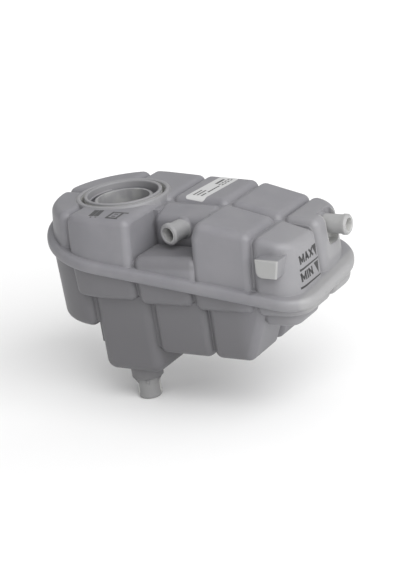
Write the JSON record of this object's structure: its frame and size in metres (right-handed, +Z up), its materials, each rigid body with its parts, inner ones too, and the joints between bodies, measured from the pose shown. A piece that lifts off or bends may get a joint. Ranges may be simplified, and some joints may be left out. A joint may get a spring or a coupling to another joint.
{
  "type": "coolant expansion tank",
  "caption": "Moulded coolant expansion tank of welded ribbed cells, with an open filler neck, a front and an end hose spigot, and a bottom outlet.",
  "frame": {"origin": "on the filler axis, at the lip of the inner sealing sleeve", "axes": "+X lengthwise from the filler end to the end spigot, +Y across towards the rear, +Z up as installed"},
  "size_m": [0.2449, 0.1368, 0.1624],
  "materials": {
    "tank_plastic": "natural translucent polypropylene that reads grey, with a soft even sheen",
    "label_film": "white matt film label"
  },
  "bodies": {
    "root": {"upper_shell": "tank_plastic", "lower_shell": "tank_plastic", "label": "label_film"}
  },
  "joints": []
}
